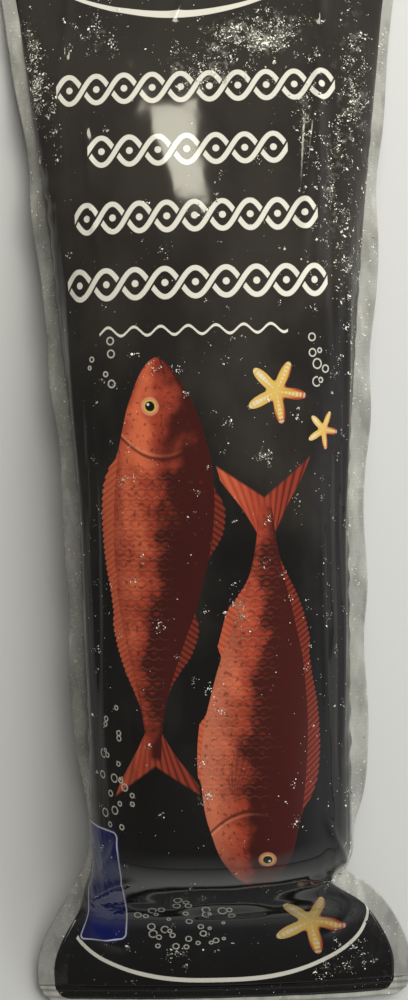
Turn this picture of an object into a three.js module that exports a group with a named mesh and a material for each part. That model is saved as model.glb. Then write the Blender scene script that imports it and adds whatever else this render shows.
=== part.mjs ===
// A sealed pouch of printed plastic film, drawn tight round a frozen block of seafood and lying on
// its back. X runs across the pouch, Y along it from the bottom seal to the top seal, and Z up.
// Sizes are in millimetres. "along" is measured from the bottom end of the flat bag.
import * as THREE from "three";

// The flat bag
const bagLength = 400;
const bagWidth = 140;
const sideSealWidth = 6.5;
const bottomSealDepth = 8;
const topSealDepth = 13;
const cornerRadius = 9;
const filmThickness = 0.8;
const sealThickness = 1.2;
const gap = 0.3;
const thinnestBlock = 3;
const panelHalfWidth = bagWidth / 2 - sideSealWidth;

// The frozen block inside, by where its lower end starts, where it is full and where it thins out
const blockStart = 32;
const blockFull = 78;
const blockTaper = 180;
const blockEnd = 365;
const blockHeight = 51;
const frontShare = 0.53;
const depthPower = 1.6;
const edgePower = 1.4;

// How far each side of the flat bag is drawn in where the block fills it. The neck by the block's
// lower end is tighter on the right, and let out a little on the left.
const drawnIn = 17.5;
const drawnInStart = 12;
const drawnInFull = 60;
const neckAlong = 52;
const neckReach = 7.5;
const neckDrawnIn = { left: -2, right: 8.5 };

// The seam sheet, in which both side seals and both flat ends lie. The ends lie flat below one
// fullness, and the sides are taut above another.
const pressedDown = 1.5;
const seamHeight = blockHeight * (1 - frontShare) - pressedDown;
const flatFullness = 1 / 4;
const tautFullness = 1 / 3;
const bottomEndHeight = 7;
const topEndHeight = 5;
const endDroop = 3;

// The side seals bend down beside the block and fold under by the neck, by these angles in radians
const sealBend = { left: 0.5, right: 0.22 };
const neckBend = { left: 0.9, right: 1.1 };
const neckBendAlong = { left: 73, right: 68 };
const neckBendReach = { left: 24, right: 14 };

// The bag isn't cut quite square, so its side seals are narrower near the top, by these shares
const trimmed = { left: 0.2, right: 0.45 };
const trimStart = 250;
const trimFull = 325;
const trimFade = 362;
const trimEnd = 384;

// The side seals' outer edges flutter and wander. A notch near the top starts the tear.
const flutterHeight = 1.1;
const flutterLength = 31;
const wanderWidth = 0.7;
const wanderLength = 53;
const notchAlong = 372;
const notchHalfWidth = 1.5;
const notchDepth = 2.8;

// Shapes of the cross-section: a low power is round, a high one is boxy
const frontPower = 2.5;
const backPower = 2.9;
const backPress = 1.16;

// Lumps of the frozen seafood that show through the film of the front
const lumps = [
  { across: 3, along: 262, halfLength: 34, halfWidth: 26, height: 2.2 },
  { across: 5, along: 198, halfLength: 44, halfWidth: 22, height: 3 },
  { across: -23, along: 106, halfLength: 40, halfWidth: 14, height: 2.6 },
  { across: 19, along: 98, halfLength: 42, halfWidth: 16, height: 3.2 },
];

// Ribs across the crimped ends
const crimpRibs = { bottom: 3, top: 5 };
const crimpHeight = 0.35;
const stepsPerRib = 2;
const stepsBesideRibs = 4;
const firstRowShare = 0.25;

// How finely the meshes are divided
const acrossSteps = 18;
const rowStep = 9.5;
const neckRowStep = 4;
const shortestRow = 3;
const sealSteps = 2;
const slopeStep = 0.5;

const smooth = (from, to, value) => THREE.MathUtils.smoothstep(value, from, to);
const bump = (value, centre, reach) => Math.exp(-(((value - centre) / reach) ** 2));

// How the block thins out towards its upper end, from 1 to 0. A high power keeps it full for longer.
function thinning(along, power) {
  const share = THREE.MathUtils.clamp((along - blockTaper) / (blockEnd - blockTaper), 0, 1);
  return 1 - share ** power;
}

// How full the bag is at a distance along it: 0 where it lies flat, 1 at its deepest
const fullness = (along) => smooth(blockStart, blockFull, along) * thinning(along, depthPower);

// The printed panels' edge, as a distance out from the bag's middle line. The block draws it in from
// its place on the flat bag. side is below 0 on the left and above 0 on the right.
function panelEdge(side, along) {
  const rise = smooth(drawnInStart, drawnInFull, along);
  const neck = neckDrawnIn[side < 0 ? "left" : "right"] * bump(along, neckAlong, neckReach);
  return panelHalfWidth - drawnIn * rise * thinning(along, edgePower) - neck;
}

// Height of the seam sheet above the floor, lowest at the two ends, whose corners hang a little
function seamSheet(across, along) {
  const lower = smooth(0, blockFull, along);
  const upper = smooth(0, bagLength - blockTaper, bagLength - along);
  const centre =
    seamHeight -
    (seamHeight - bottomEndHeight) * (1 - lower) -
    (seamHeight - topEndHeight) * (1 - upper);
  const flat = 1 - Math.min(1, fullness(along) / flatFullness);
  return centre - endDroop * flat * (across / panelHalfWidth) ** 2;
}

// A rounded section's height, 0 at its sides and 1 at its middle, for a share of the half width
const section = (share, power) => (1 - Math.min(1, Math.abs(share)) ** power) ** (1 / power);

function lumpHeight(across, along) {
  return lumps.reduce((sum, lump) => {
    const beside = bump(across, lump.across, lump.halfWidth);
    return sum + lump.height * beside * bump(along, lump.along, lump.halfLength);
  }, 0);
}

// A point of the front, "inset" inside its outer face. side runs from -1, at the left seal, to 1.
function frontPoint(side, along, inset) {
  const angle = (side * Math.PI) / 2;
  const share = Math.sign(side) * Math.abs(Math.sin(angle)) ** (2 / frontPower);
  const outerEdge = panelEdge(side, along);
  const rise = frontShare * blockHeight * fullness(along);
  const lift = lumpHeight(share * outerEdge, along) * fullness(along);
  const height = Math.max(0, rise + lift + filmThickness - inset);
  const across = share * (outerEdge - inset);
  const z = seamSheet(across, along) + gap / 2 + height * section(share, frontPower);
  return new THREE.Vector3(across, along, z);
}

// A point of the back, which its own weight presses flat on the floor
function backPoint(side, along, inset) {
  const angle = (side * Math.PI) / 2;
  const share = Math.sign(side) * Math.abs(Math.sin(angle)) ** (2 / backPower);
  const outerEdge = panelEdge(side, along);
  const seam = seamSheet(share * outerEdge, along);
  const full = fullness(along);
  const fall = Math.max(0, backPress * seamHeight * full + filmThickness - inset);
  const across = share * (outerEdge - inset);
  const z = seam - gap / 2 - fall * section(share, backPower);
  return new THREE.Vector3(across, along, Math.max(inset, z));
}

// Distances along the bag for the rows of a mesh: closer together round the neck
function rowsBetween(from, to) {
  const rows = [];
  let along = from;
  while (along < to) {
    rows.push(along);
    const nearNeck = along > drawnInStart - neckRowStep && along < blockFull + neckRowStep;
    along += nearNeck ? neckRowStep : rowStep;
  }
  const notch = [-1, 0, 1].map((k) => notchAlong + k * notchHalfWidth);
  const clear = (value) => Math.min(...notch.map((n) => Math.abs(n - value))) > notchHalfWidth;
  const longEnough = (value) => to - value > shortestRow;
  const kept = rows.filter((value) => value === from || (clear(value) && longEnough(value)));
  return [...kept, ...notch, to].sort((a, b) => a - b);
}

// A closed slab between two surfaces, each a function of side (-1 to 1) and a row's distance along
function slab(upper, lower, columns, rows) {
  const positions = [];
  const stride = columns + 1;
  for (const surface of [upper, lower]) {
    for (const along of rows) {
      for (let i = 0; i <= columns; i++) {
        positions.push(...surface((2 * i) / columns - 1, along).toArray());
      }
    }
  }
  const lowerStart = stride * rows.length;
  const indices = [];
  const quad = (a, b, c, d) => indices.push(a, b, c, a, c, d);
  for (let j = 0; j < rows.length - 1; j++) {
    for (let i = 0; i < columns; i++) {
      const a = j * stride + i;
      const [b, c, d] = [a + 1, a + stride + 1, a + stride];
      quad(a, b, c, d);
      indices.push(lowerStart + a, lowerStart + c, lowerStart + b);
      indices.push(lowerStart + a, lowerStart + d, lowerStart + c);
    }
  }
  const wall = (a, b) => quad(lowerStart + a, lowerStart + b, b, a);
  const last = (rows.length - 1) * stride;
  for (let i = 0; i < columns; i++) {
    wall(i, i + 1);
    wall(last + i + 1, last + i);
  }
  for (let j = 0; j < rows.length - 1; j++) {
    wall((j + 1) * stride, j * stride);
    wall(j * stride + columns, (j + 1) * stride + columns);
  }
  const geometry = new THREE.BufferGeometry();
  geometry.setAttribute("position", new THREE.Float32BufferAttribute(positions, 3));
  geometry.setIndex(indices);
  geometry.computeVertexNormals();
  return geometry;
}

const panelRows = rowsBetween(bottomSealDepth + gap, bagLength - topSealDepth - gap);

function frontFilm() {
  const outer = (side, along) => frontPoint(side, along, 0);
  const inner = (side, along) => frontPoint(side, along, filmThickness);
  return slab(outer, inner, acrossSteps, panelRows);
}

function backFilm() {
  const inner = (side, along) => backPoint(side, along, filmThickness);
  const outer = (side, along) => backPoint(side, along, 0);
  return slab(inner, outer, acrossSteps, panelRows);
}

// The block fills the film, a gap inside it, wherever the two films are well apart
function frozenBlock() {
  const inset = filmThickness + gap;
  const thick = (along) => fullness(along) * blockHeight * (1 - frontShare) > thinnestBlock;
  const rows = panelRows.filter(thick);
  const front = (side, along) => frontPoint(side, along, inset);
  const back = (side, along) => backPoint(side, along, inset);
  return slab(front, back, acrossSteps, rows);
}

// The panel's edge in plan and the way out of it, square to that edge
function edgeFrame(side, along) {
  const rise = panelEdge(side, along + slopeStep) - panelEdge(side, along - slopeStep);
  return new THREE.Vector2(1, -rise / (2 * slopeStep)).normalize();
}

// How taut the bag's sides are: 0 at the flat ends, 1 where the block fills it
const tautness = (along) => Math.min(1, fullness(along) / tautFullness);

// How wide the side seal is at a distance along it, with its trimmed, wandering edge and its notch
function sealWidth(name, along, phase) {
  const trim = trimmed[name] * smooth(trimStart, trimFull, along) * (1 - smooth(trimFade, trimEnd, along));
  const wander = wanderWidth * Math.sin((2 * Math.PI * along) / wanderLength + phase);
  const notch = Math.max(0, 1 - Math.abs(along - notchAlong) / notchHalfWidth);
  return sideSealWidth * (1 - trim) + wander * tautness(along) - notchDepth * notch;
}

// How far the side seal bends down, as an angle
function bendAngle(name, along) {
  const neck = neckBend[name] * bump(along, neckBendAlong[name], neckBendReach[name]);
  return tautness(along) * (sealBend[name] + neck);
}

// A strip of both films welded together beside the panels. Its thickness leans over with its bend,
// from nothing at the panels' edge.
function sideSeal(name) {
  const direction = name === "left" ? -1 : 1;
  const strip = (offset) => (side, along) => {
    const outward = (side * direction + 1) / 2;
    const bend = bendAngle(name, along);
    const width = outward * sealWidth(name, along, direction);
    const lean = offset * outward * Math.sin(bend);
    const out = edgeFrame(direction, along).multiplyScalar(gap + width * Math.cos(bend) + lean);
    const across = panelEdge(direction, along) + out.x;
    const phase = (2 * Math.PI * along) / flutterLength + direction;
    const flutter = flutterHeight * outward * Math.sin(phase) * tautness(along);
    const z = seamSheet(across, along) - width * Math.sin(bend) + flutter + offset;
    return new THREE.Vector3(direction * across, along + out.y, z);
  };
  const half = sealThickness / 2;
  return slab(strip(half), strip(-half), sealSteps, panelRows);
}

// A crimped end of the bag, with rounded outer corners and ribs that run across it
function endSeal(end) {
  const depth = end === "bottom" ? bottomSealDepth : topSealDepth;
  const ribs = crimpRibs[end];
  const steps = stepsPerRib * ribs + stepsBesideRibs;
  const along = (row) => (end === "bottom" ? row : bagLength - row);
  const halfWidthAt = (row) => {
    const short = Math.max(0, cornerRadius - row);
    return bagWidth / 2 - cornerRadius + Math.sqrt(cornerRadius ** 2 - short ** 2);
  };
  const rows = Array.from({ length: steps + 1 }, (_, k) => (depth * k) / steps);
  rows[0] = (firstRowShare * depth) / steps;
  const sheet = (offset) => (side, row) => {
    const across = side * halfWidthAt(row);
    const rib = crimpHeight * Math.sin((2 * Math.PI * ribs * row) / depth);
    return new THREE.Vector3(across, along(row), seamSheet(across, along(row)) + rib + offset);
  };
  const half = sealThickness / 2;
  const ordered = end === "bottom" ? rows : rows.reverse();
  return slab(sheet(half), sheet(-half), acrossSteps, ordered);
}

const finish = (color, roughness) => new THREE.MeshStandardMaterial({ color, roughness, metalness: 0 });
const printedFilm = finish("#26231f", 0.3);
const clearMargin = finish("#b9b8ae", 0.35);
const frozenSeafood = finish("#c9a08c", 0.6);

const pouch = new THREE.Group();
const addPiece = (name, geometry, material) => {
  const mesh = new THREE.Mesh(geometry, material);
  mesh.name = name;
  pouch.add(mesh);
};
addPiece("front_panel", frontFilm(), printedFilm);
addPiece("back_panel", backFilm(), printedFilm);
addPiece("frozen_block", frozenBlock(), frozenSeafood);
addPiece("side_seal_left", sideSeal("left"), clearMargin);
addPiece("side_seal_right", sideSeal("right"), clearMargin);
addPiece("end_seal_bottom", endSeal("bottom"), printedFilm);
addPiece("end_seal_top", endSeal("top"), printedFilm);

// The origin is the middle of the pouch's footprint, on the floor
const box = new THREE.Box3().setFromObject(pouch, true);
const middle = box.getCenter(new THREE.Vector3());
pouch.position.set(-middle.x, -middle.y, -box.min.z);

export default pouch;
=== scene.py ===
"""A sealed pouch of printed plastic film round a frozen block of seafood, lying on its back.

X runs across the pouch, Y along it from the bottom seal to the top seal, and Z up. "along" is a
distance from the bottom end of the flat bag, and "around" a distance over the film from the bag's
middle line, so that a print laid out on the flat bag follows the filled one.
"""

import math
from functools import partialmethod

import bmesh
import bpy
import numpy as np
from mathutils import Matrix, Quaternion, Vector, noise


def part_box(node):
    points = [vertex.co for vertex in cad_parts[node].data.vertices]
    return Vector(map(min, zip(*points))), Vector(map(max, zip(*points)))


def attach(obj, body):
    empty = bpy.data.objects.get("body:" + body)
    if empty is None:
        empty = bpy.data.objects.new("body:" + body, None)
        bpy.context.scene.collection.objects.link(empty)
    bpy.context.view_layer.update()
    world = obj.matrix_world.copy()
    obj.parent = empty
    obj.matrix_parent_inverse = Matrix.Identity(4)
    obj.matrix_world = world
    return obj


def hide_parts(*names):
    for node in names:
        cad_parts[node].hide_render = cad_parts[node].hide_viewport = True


bl_info = {
    "name": "Frozen seafood pouch",
    "version": (1, 0, 0),
    "blender": (4, 5, 0),
    "location": "View3D > Sidebar > Pouch",
    "description": "Builds a filled pouch of printed film with its seals, print and frost",
    "category": "Add Mesh",
}

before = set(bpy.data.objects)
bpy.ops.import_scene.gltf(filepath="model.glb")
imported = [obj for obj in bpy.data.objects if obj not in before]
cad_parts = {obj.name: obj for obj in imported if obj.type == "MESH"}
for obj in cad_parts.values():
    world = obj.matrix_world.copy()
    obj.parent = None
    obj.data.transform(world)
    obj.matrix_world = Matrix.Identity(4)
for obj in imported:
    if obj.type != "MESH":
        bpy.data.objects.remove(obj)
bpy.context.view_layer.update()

MM = 0.001
RIDES_ON = "root"

# The number of quads in each sheet, across it and along it
FRONT_QUADS = (134, 360)
BACK_QUADS = (100, 280)
MARGIN_QUADS = (12, 420)
CRIMP_QUADS = (150, 28)


def length_property(name, description, millimetres):
    """A length that the sidebar shows, with its default in millimetres"""
    return bpy.props.FloatProperty(
        name=name,
        description=description,
        default=millimetres * MM,
        min=0.0,
        precision=5,
        unit="LENGTH",
    )


def number_property(name, description, value, unit="NONE"):
    """A number that the sidebar shows, plain or in that unit"""
    return bpy.props.FloatProperty(name=name, description=description, default=value, unit=unit)


def colour_property(name, description, colour):
    """A colour that the sidebar shows, in linear light"""
    return bpy.props.FloatVectorProperty(
        name=name,
        description=description,
        default=colour,
        size=3,
        min=0.0,
        max=1.0,
        subtype="COLOR",
    )


class PouchBag(bpy.types.PropertyGroup):
    """Sizes of the filled bag"""

    length: length_property("Length", "Length of the flat bag", 400)
    width: length_property("Width", "Width of the flat bag", 140)
    side_seal: length_property("Side seal", "Width of the clear margin at each side", 6.5)
    bottom_seal: length_property("Bottom seal", "Depth of the crimped bottom end", 8)
    top_seal: length_property("Top seal", "Depth of the crimped top end", 13)
    corner_radius: length_property("Corners", "Radius of the bag's four corners", 9)
    lift: length_property("Lift", "How far the film's face stands off the contents", 0.8)
    film: length_property("Film", "Thickness that the film is modelled with", 0.3)
    seal: length_property("Seal", "Thickness that the welded margins are modelled with", 0.5)
    block_start: length_property("Block start", "Where the block's lower end begins", 32)
    block_full: length_property("Block full", "Where the block reaches its full depth", 78)
    block_taper: length_property("Block taper", "Where the block starts to thin out", 180)
    block_end: length_property("Block end", "Where the block's upper end is", 365)
    block_height: length_property("Block height", "Depth of the filled bag", 51)
    drawn_in: length_property("Drawn in", "How far the block draws in each side", 17.5)
    front_share: number_property("Front share", "Share of the depth above the seams", 0.53)


class PouchPrint(bpy.types.PropertyGroup):
    """Colours of the film, its print and the frost"""

    dark: colour_property("Dark film", "The print's dark ground", (0.0075, 0.0066, 0.006))
    slate: colour_property("Slate", "The ground's paler clouds", (0.03, 0.0255, 0.0205))
    cream: colour_property("Cream", "Rope bands, frame lines and bubbles", (0.6, 0.57, 0.48))
    lit: colour_property("Lit coral", "The fish where the light falls", (0.58, 0.128, 0.055))
    coral: colour_property("Coral", "The middle tone of the fish", (0.29, 0.043, 0.021))
    deep: colour_property("Deep coral", "The fish in shade", (0.045, 0.0085, 0.0065))
    pale: colour_property("Pale coral", "The bellies and the edges of the scales", (0.68, 0.27, 0.15))
    yellow: colour_property("Yellow", "The starfish", (0.52, 0.34, 0.08))
    blue: colour_property("Blue", "The bare label", (0.004, 0.0075, 0.085))
    margin: colour_property("Margin", "The milky clear film of the seals", (0.31, 0.3, 0.262))
    ice: colour_property("Ice", "Frost and ice", (0.86, 0.84, 0.72))
    haze: colour_property("Haze", "The dull film of frost round the flakes", (0.15, 0.142, 0.112))
    block: colour_property("Block", "The frozen contents", (0.55, 0.3, 0.2))


class PouchStage(bpy.types.PropertyGroup):
    """The camera, the floor and the lights"""

    distance: length_property("Distance", "From the camera to the point it aims at", 431.6)
    tilt: number_property("Tilt", "Lean towards the top end", math.radians(6.38), "ROTATION")
    roll: number_property("Roll", "Turn about the line of sight", math.radians(-1.48), "ROTATION")
    lens: number_property("Lens", "Focal length on a 36 mm sensor", 44.9, "CAMERA")
    floor: colour_property("Floor", "The plain pale floor", (0.6, 0.59, 0.56))
    sky: number_property("Sky", "Strength of the soft light all round", 1.0)
    key: number_property("Key", "The large soft light", 15.0, "POWER")
    fill: number_property("Fill", "The cool light on the right", 2.5, "POWER")
    lamp: number_property("Lamp", "The small lamp that the film mirrors", 0.36, "POWER")


def smooth(start, end, value):
    """0 before start, 1 after end, and an even S between"""
    share = np.clip((value - start) / (end - start), 0, 1)
    return share * share * (3 - 2 * share)


def window(start, full, fade, end, value):
    """0 before start and after end, 1 from full to fade, and an even S between"""
    return smooth(start, full, value) * (1 - smooth(fade, end, value))


def wave(value, length, shift=0.0):
    """A sine wave of that length"""
    return np.sin(2 * math.pi * value / length + shift)


def bump(value, centre, reach):
    """1 at the centre, falling away over its reach"""
    return np.exp(-(((value - centre) / reach) ** 2))


def section(share, power):
    """A rounded section's height, 0 at its sides and 1 at its middle"""
    return (1 - np.minimum(1, np.abs(share)) ** power) ** (1 / power)


class BagShape:
    """The filled bag's form, as the solids have it. side is -1 on the left and 1 on the right"""

    depth_power = 1.6
    edge_power = 1.4
    front_power = 2.5
    back_power = 2.9
    back_press = 1.16
    drawn_in_start = 12 * MM
    drawn_in_full = 60 * MM
    neck_along = 52 * MM
    neck_reach = 7.5 * MM
    neck_drawn_in = {-1: -2 * MM, 1: 8.5 * MM}
    bottom_end_height = 7 * MM
    top_end_height = 5 * MM
    end_droop = 3 * MM
    pressed_down = 1.5 * MM
    flat_fullness = 1 / 4
    taut_fullness = 1 / 3
    seal_bend = {-1: 0.5, 1: 0.22}
    neck_bend = {-1: 0.9, 1: 1.1}
    neck_bend_along = {-1: 73 * MM, 1: 68 * MM}
    neck_bend_reach = {-1: 24 * MM, 1: 14 * MM}
    trimmed = {-1: 0.2, 1: 0.45}
    trim_start = 250 * MM
    trim_full = 325 * MM
    trim_fade = 362 * MM
    trim_end = 384 * MM
    flutter_height = 1.1 * MM
    flutter_length = 31 * MM
    wander_width = 0.7 * MM
    wander_length = 53 * MM
    notch_along = 372 * MM
    notch_half_width = 1.5 * MM
    notch_depth = 2.8 * MM
    solid_gap = 0.3 * MM
    panel_under_seal = 1.2 * MM
    flat_lift = 0.35
    outline_points = 801
    # Lumps of the contents under the front: across, along, half width, half length and height
    lumps = (
        (3 * MM, 262 * MM, 26 * MM, 34 * MM, 2.2 * MM),
        (5 * MM, 198 * MM, 22 * MM, 44 * MM, 3 * MM),
        (-23 * MM, 106 * MM, 14 * MM, 40 * MM, 2.6 * MM),
        (19 * MM, 98 * MM, 16 * MM, 42 * MM, 3.2 * MM),
    )

    def __init__(self, bag):
        self.bag = bag
        self.half = bag.width / 2 - bag.side_seal
        self.seam = bag.block_height * (1 - bag.front_share) - self.pressed_down
        left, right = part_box("end_seal_bottom")
        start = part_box("front_panel")[0].y - bag.bottom_seal - self.solid_gap
        self.place = np.array([(left.x + right.x) / 2, start, 0])
        self.first = bag.bottom_seal - self.panel_under_seal
        self.last = bag.length - bag.top_seal + self.panel_under_seal

    def thinning(self, along, power):
        """1 up to where the block starts to thin out, and 0 at its upper end"""
        share = (along - self.bag.block_taper) / (self.bag.block_end - self.bag.block_taper)
        return 1 - np.clip(share, 0, 1) ** power

    def fullness(self, along):
        """The share of its full depth that the bag has, from 0 to 1"""
        rise = smooth(self.bag.block_start, self.bag.block_full, along)
        return rise * self.thinning(along, self.depth_power)

    def tautness(self, along):
        """0 where the side seals lie slack and 1 where the filled bag pulls them taut"""
        return np.minimum(1, self.fullness(along) / self.taut_fullness)

    def margin_width(self, side, along):
        """The side seal's width, with its trimmed, wandering edge and its notch"""
        stretch = (self.trim_start, self.trim_full, self.trim_fade, self.trim_end)
        trim = self.trimmed[side] * window(*stretch, along)
        wander = wave(along, self.wander_length, side) * self.tautness(along)
        notch = np.maximum(0, 1 - np.abs(along - self.notch_along) / self.notch_half_width)
        notch = self.notch_depth * notch
        return self.bag.side_seal * (1 - trim) + self.wander_width * wander - notch

    def bend_angle(self, side, along):
        """How far a taut side seal bends down"""
        neck = bump(along, self.neck_bend_along[side], self.neck_bend_reach[side])
        return self.seal_bend[side] + self.neck_bend[side] * neck

    def panel_edge(self, side, along):
        """How far the films' welded edge is from the middle line on one side"""
        rise = smooth(self.drawn_in_start, self.drawn_in_full, along)
        neck = self.neck_drawn_in[side] * bump(along, self.neck_along, self.neck_reach)
        return self.half - self.bag.drawn_in * rise * self.thinning(along, self.edge_power) - neck

    def seam_height(self, across, along):
        """The height at which the front and the back meet"""
        bag = self.bag
        lower = smooth(0, bag.block_full, along)
        upper = smooth(0, bag.length - bag.block_taper, bag.length - along)
        centre = self.seam - (self.seam - self.bottom_end_height) * (1 - lower)
        centre = centre - (self.seam - self.top_end_height) * (1 - upper)
        flat = 1 - np.minimum(1, self.fullness(along) / self.flat_fullness)
        return centre - self.end_droop * flat * (across / self.half) ** 2

    def lump_height(self, across, along):
        """How far the contents lift the front out of its plain form"""
        return sum(
            height * bump(across, x, half_width) * bump(along, y, half_length)
            for x, y, half_width, half_length, height in self.lumps
        )

    def outline(self, along, front):
        """A fine section of the front or the back at one distance along, from left to right"""
        power = self.front_power if front else self.back_power
        angle = np.linspace(-math.pi / 2, math.pi / 2, self.outline_points)
        share = np.sign(angle) * np.abs(np.sin(angle)) ** (2 / power)
        edge = np.where(share < 0, self.panel_edge(-1, along), self.panel_edge(1, along))
        across = share * edge
        full = self.fullness(along)
        seam = self.seam_height(across, along)
        # The two films lie close together where nothing is between them
        lift = self.bag.lift * (self.flat_lift + (1 - self.flat_lift) * smooth(0, 0.1, full))
        if front:
            rise = self.bag.front_share * self.bag.block_height + self.lump_height(across, along)
            return across, seam + (rise * full + lift) * section(share, power)
        fall = (self.back_press * self.seam * full + lift) * section(share, power)
        return across, np.maximum(0, seam - fall)

    def sheet(self, quads, front):
        """Points [row, column] of the front or the back, with each point's place on the flat bag.
        The print keeps its scale in the middle, and slack film gathers towards the sides"""
        rows = np.linspace(self.first, self.last, quads[1] + 1)
        columns = np.linspace(-1, 1, quads[0] + 1)
        points = np.zeros((len(rows), len(columns), 3))
        for j, along in enumerate(rows):
            across, height = self.outline(along, front)
            steps = np.hypot(np.diff(across), np.diff(height))
            run = np.concatenate([[0], np.cumsum(steps)])
            run = run - run[len(run) // 2]
            reach = np.where(columns < 0, -run[0], run[-1])
            slack = self.half / reach - 1
            wanted = reach * columns * (1 + slack * (1 - columns**2))
            points[j, :, 0] = np.interp(wanted, run, across)
            points[j, :, 1] = along
            points[j, :, 2] = np.interp(wanted, run, height)
        around, along = np.meshgrid(columns * self.half, rows)
        return points, around, along


def normals_of(points):
    """Unit normals of a sheet of points [row, column], on the side that faces up"""
    across = np.gradient(points, axis=1)
    along = np.gradient(points, axis=0)
    normal = np.cross(across, along)
    return normal / np.linalg.norm(normal, axis=2, keepdims=True)


def wrinkle_noise(around, along, size, stretch, seed, octaves=3):
    """Soft noise from about -1 to 1, its lumps of that size and that many times longer along"""
    flat = zip((around / size).ravel(), (along / (size * stretch)).ravel())
    values = [noise.fractal((x, y, seed), 1.0, 2.0, octaves) for x, y in flat]
    return np.array(values).reshape(around.shape)


def crease(around, along, start, end, width, bow):
    """A fold's height from 0 to 1, along a slightly bowed line between two places on the film"""
    run = (end[0] - start[0], end[1] - start[1])
    reach = math.hypot(*run)
    way = (run[0] / reach, run[1] / reach)
    x, y = around - start[0], along - start[1]
    forward = (x * way[0] + y * way[1]) / reach
    inside = np.clip(forward, 0, 1)
    aside = y * way[0] - x * way[1] - bow * 4 * inside * (1 - inside)
    return window(0, 0.3, 0.7, 1, forward) / (1 + (aside / width) ** 2) ** 1.5


# Folds pressed into the front, in millimetres: where each starts and ends on the flat bag, its
# width, its height and how far it bows. A negative height is a groove.
FOLDS = (
    ((39, 352), (36, 262), 1.5, 0.8, 1.5),
    ((45, 330), (43, 236), 1.8, -0.6, -1.0),
    ((39, 336), (29, 256), 3.0, 1.25, 0.8),
    ((-41, 322), (-39, 294), 1.5, 0.55, 0.3),
    ((-39, 294), (-36, 272), 1.5, 0.55, -0.3),
    ((-31, 206), (-30, 172), 1.2, 0.4, 0.4),
    ((-30, 134), (-27, 92), 1.3, 0.45, -0.5),
    ((50, 300), (47, 96), 2.2, 0.9, 1.8),
    ((43, 224), (44, 82), 1.7, -0.5, 1.2),
    ((38, 196), (39, 104), 1.3, 0.35, -0.8),
    ((-49, 290), (-48, 90), 2.2, 0.7, -1.6),
    ((-42, 250), (-43, 120), 1.6, -0.4, 1.0),
    ((-3, 383), (-10, 352), 1.7, 0.9, 2.5),
    ((46, 384), (42, 346), 1.8, 0.9, -2.5),
    ((-44, 386), (-50, 330), 1.8, 0.8, 1.5),
    ((14, 386), (20, 358), 2.2, 0.6, -2.0),
    ((-26, 385), (-34, 350), 2.0, -0.5, 1.6),
    ((-56, 46), (-30, 62), 2.0, 1.0, 2.0),
    ((-58, 52), (-34, 84), 1.8, 0.8, -2.4),
    ((-58, 40), (-34, 22), 2.2, 0.9, -1.8),
    ((57, 50), (30, 60), 2.0, 1.1, -2.0),
    ((58, 56), (36, 88), 1.8, 0.9, 2.4),
    ((57, 45), (34, 26), 2.2, 1.0, 1.8),
    ((-16, 37), (18, 40), 3.5, 0.6, 2.0),
)


def front_relief(shape, around, along):
    """How far the front's film stands out of the plain form: folds, puckers and crinkles"""
    full = shape.fullness(along)
    beside = np.abs(around) / shape.half
    relief = np.zeros_like(around)
    for (x0, y0), (x1, y1), width, height, bow in FOLDS:
        start, end = (x0 * MM, y0 * MM), (x1 * MM, y1 * MM)
        relief += height * MM * crease(around, along, start, end, width * MM, bow * MM)
    # Long soft streaks where the film is stretched down the block's sides
    streaks = wrinkle_noise(around, along, 6 * MM, 9, 3.1, 2)
    relief += 0.35 * MM * streaks * smooth(0.45, 0.78, beside) * np.minimum(1, 2 * full)
    # Puckers that run in from the side seals
    pucker = wave(along, 9.5 * MM, 3 * np.sin(along / (37 * MM)))
    pucker = pucker * wrinkle_noise(around, along, 30 * MM, 1, 7.7, 1)
    relief += 0.9 * MM * pucker * bump(beside, 0.97, 0.12) * np.minimum(1, 3 * full)
    # The lumps of the ice, and slack film at the loose ends
    relief += 0.05 * MM * wrinkle_noise(around, along, 24 * MM, 1.5, 1.3) * smooth(0.1, 0.6, full)
    loose = 1 - smooth(0.1, 0.6, full)
    crumple = wrinkle_noise(around, along, 19 * MM, 1.4, 5.9, 2)
    relief += 0.45 * MM * crumple * loose * smooth(0.0, 0.5, beside + bump(along, 0.0, 0.1))
    hem = 1 - smooth(0.93, 1.0, beside)
    reach = 14 * MM
    first, last = shape.first, shape.last
    ends = window(first, first + reach, last - reach, last, along)
    # No groove reaches the back's film, which lies close behind the front's where the bag is flat
    return np.maximum(relief, -0.7 * MM * smooth(0.02, 0.2, full)) * hem * ends


def back_relief(shape, around, along):
    """Creases of the back, which only ever rise off the floor"""
    crumple = np.abs(wrinkle_noise(around, along, 16 * MM, 2.0, 9.2))
    crumple = crumple * smooth(0.05, 0.4, shape.fullness(along))
    return 0.5 * MM * crumple * (1 - smooth(0.9, 1.0, np.abs(around) / shape.half))


def front_points(shape):
    """The front's points with their folds, and each point's place on the flat bag"""
    points, around, along = shape.sheet(FRONT_QUADS, True)
    relief = front_relief(shape, around, along)
    return points + normals_of(points) * relief[..., None] + shape.place, around, along


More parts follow.
